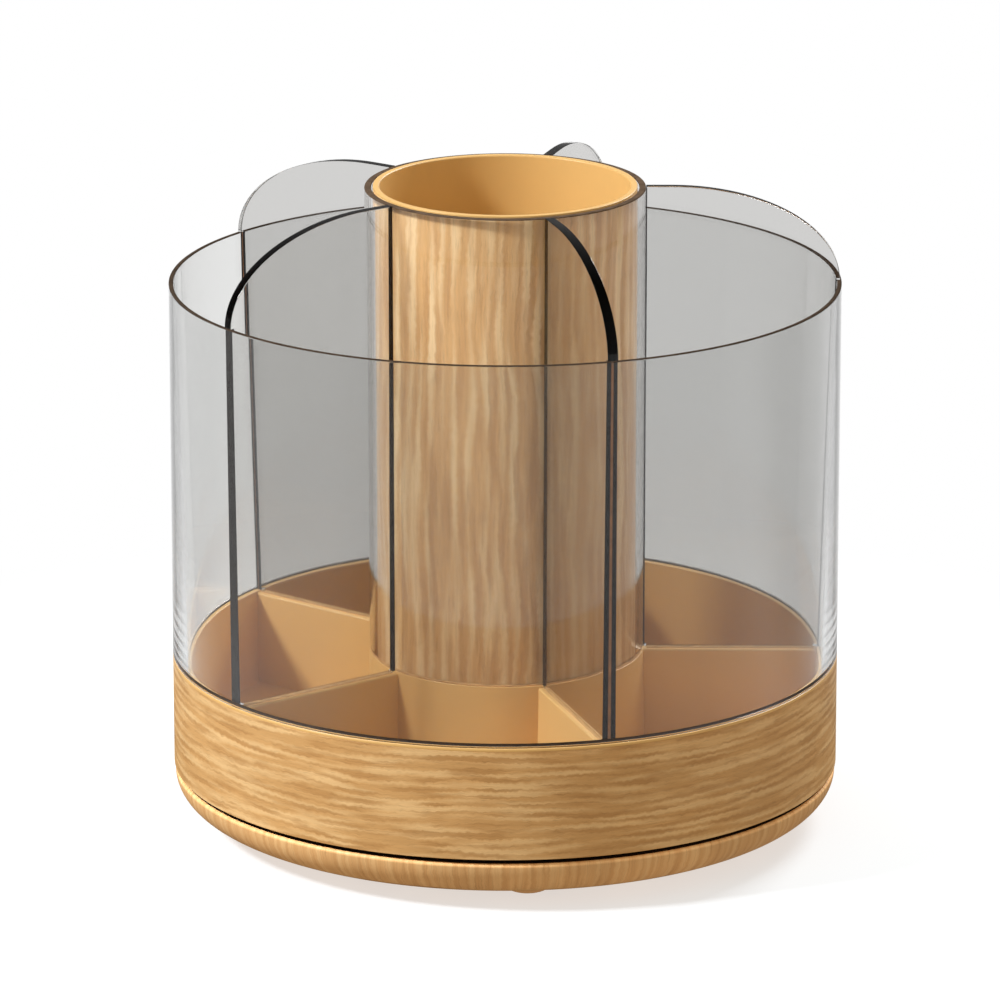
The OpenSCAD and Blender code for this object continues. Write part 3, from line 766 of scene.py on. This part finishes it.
def looked_at(tree, seen, mirrored, bounced):
    """One shader for rays from the camera and through clear pieces, one for reflections and one for other light."""
    path = node(tree, "ShaderNodeLightPath").outputs
    straight = node(tree, "ShaderNodeMath", {0: path["Is Camera Ray"], 1: path["Is Transmission Ray"]},
                    operation="MAXIMUM")
    other = node(tree, "ShaderNodeMixShader", {0: path["Is Glossy Ray"], 1: bounced, 2: mirrored})
    return node(tree, "ShaderNodeMixShader", {0: straight.outputs[0], 1: other.outputs[0], 2: seen}).outputs[0]


def room_level(tree, way):
    """How bright the room is in reflections: dim in front, bright behind, with a board at each side."""
    unit = node(tree, "ShaderNodeVectorMath", {0: way}, operation="NORMALIZE").outputs[0]
    ways = node(tree, "ShaderNodeSeparateXYZ", {0: unit}).outputs
    behind = span(tree, ways["Y"], 0.25, 0.98, 0.2, 1.0, smooth=True)
    right = span(tree, ways["X"], 0.2, 0.86, 0.0, 0.8, smooth=True)
    left = span(tree, ways["X"], -0.62, -0.86, 0.0, 0.6, smooth=True)
    sides = node(tree, "ShaderNodeMath", {0: right, 1: left}, operation="ADD")
    forward = span(tree, ways["Y"], -0.15, 0.2, 1.0, 0.0, smooth=True)
    return node(tree, "ShaderNodeMath", {0: sides.outputs[0], 1: forward, 2: behind}, operation="MULTIPLY_ADD",
                use_clamp=True).outputs[0]


def floor_stage():
    bm = bmesh.new()
    bmesh.ops.create_circle(bm, cap_ends=True, segments=96, radius=6.0)
    mesh = bpy.data.meshes.new("studio_floor")
    bm.to_mesh(mesh)
    bm.free()
    floor = new_piece("studio_floor", mesh)
    material, tree = new_material("studio_floor")
    place = node(tree, "ShaderNodeTexCoord").outputs["Object"]
    reach = node(tree, "ShaderNodeVectorMath", {0: place}, operation="LENGTH").outputs["Value"]
    paper = node(tree, "ShaderNodeBsdfDiffuse", {"Color": (0.42, 0.46, 0.50, 1)})
    glow = node(tree, "ShaderNodeEmission", {"Color": (1, 1, 1, 1), "Strength": 0.58})
    near = node(tree, "ShaderNodeAddShader", {0: paper.outputs[0], 1: glow.outputs[0]})
    white = node(tree, "ShaderNodeEmission", {"Color": (1, 1, 1, 1), "Strength": 1.0})
    seen = node(tree, "ShaderNodeMixShader", {0: span(tree, reach, 0.08, 0.24, smooth=True), 1: near.outputs[0],
                                              2: white.outputs[0]})
    mirrored = node(tree, "ShaderNodeEmission", {"Color": room_level(tree, place),
                                                 "Strength": span(tree, reach, 0.08, 0.24, 0.1, 1.0, smooth=True)})
    bounced = node(tree, "ShaderNodeEmission", {"Color": (0.65, 0.505, 0.355, 1), "Strength": 1.0})
    close_material(tree, looked_at(tree, seen.outputs[0], mirrored.outputs[0], bounced.outputs[0]))
    mesh.materials.append(material)


def studio_world():
    world = bpy.data.worlds.new("studio")
    bpy.context.scene.world = world
    world.use_nodes = True
    tree = world.node_tree
    tree.nodes.clear()
    way = node(tree, "ShaderNodeTexCoord").outputs["Generated"]
    white = node(tree, "ShaderNodeBackground", {"Color": (1, 1, 1, 1), "Strength": 1.0})
    mirrored = node(tree, "ShaderNodeBackground", {"Color": room_level(tree, way), "Strength": 0.2})
    soft = node(tree, "ShaderNodeBackground", {"Color": (0.55, 0.50, 0.425, 1), "Strength": 1.0})
    shader = looked_at(tree, white.outputs[0], mirrored.outputs[0], soft.outputs[0])
    node(tree, "ShaderNodeOutputWorld", {"Surface": shader})


def lamp(name, turn, rise, distance, size, power):
    """A square soft lamp aimed at the object. Turn is to the left of the viewer, rise above the table."""
    data = bpy.data.lights.new(name, "AREA")
    data.shape = "SQUARE"
    data.size = size
    data.energy = power
    made = bpy.data.objects.new(name, data)
    bpy.context.scene.collection.objects.link(made)
    a, e = math.radians(turn), math.radians(rise)
    way = Vector((-math.sin(a) * math.cos(e), -math.cos(a) * math.cos(e), math.sin(e)))
    made.location = Vector((0, 0, 0.07)) + way * distance
    made.rotation_euler = (-way).to_track_quat("-Z", "Y").to_euler()


def photo_camera():
    data = bpy.data.cameras.new("photo_camera")
    data.lens = LENS
    data.sensor_width = 36.0
    data.clip_start, data.clip_end = 0.05, 30.0
    camera = bpy.data.objects.new("photo_camera", data)
    bpy.context.scene.collection.objects.link(camera)
    camera.location = CAMERA_PLACE
    camera.rotation_euler = (Vector(CAMERA_AIM) - camera.location).to_track_quat("-Z", "Y").to_euler()
    bpy.context.scene.camera = camera


floor_stage()
studio_world()
lamp("key_light", turn=70, rise=38, distance=1.3, size=0.2, power=17.5)
lamp("rim_light", turn=-145, rise=35, distance=1.3, size=0.5, power=14.0)
photo_camera()

scene = bpy.context.scene
scene.view_settings.view_transform = "Standard"
scene.cycles.max_bounces = 96
scene.cycles.transmission_bounces = 96
scene.cycles.transparent_max_bounces = 32
scene.cycles.glossy_bounces = 24
scene.cycles.caustics_refractive = False
scene.cycles.caustics_reflective = False
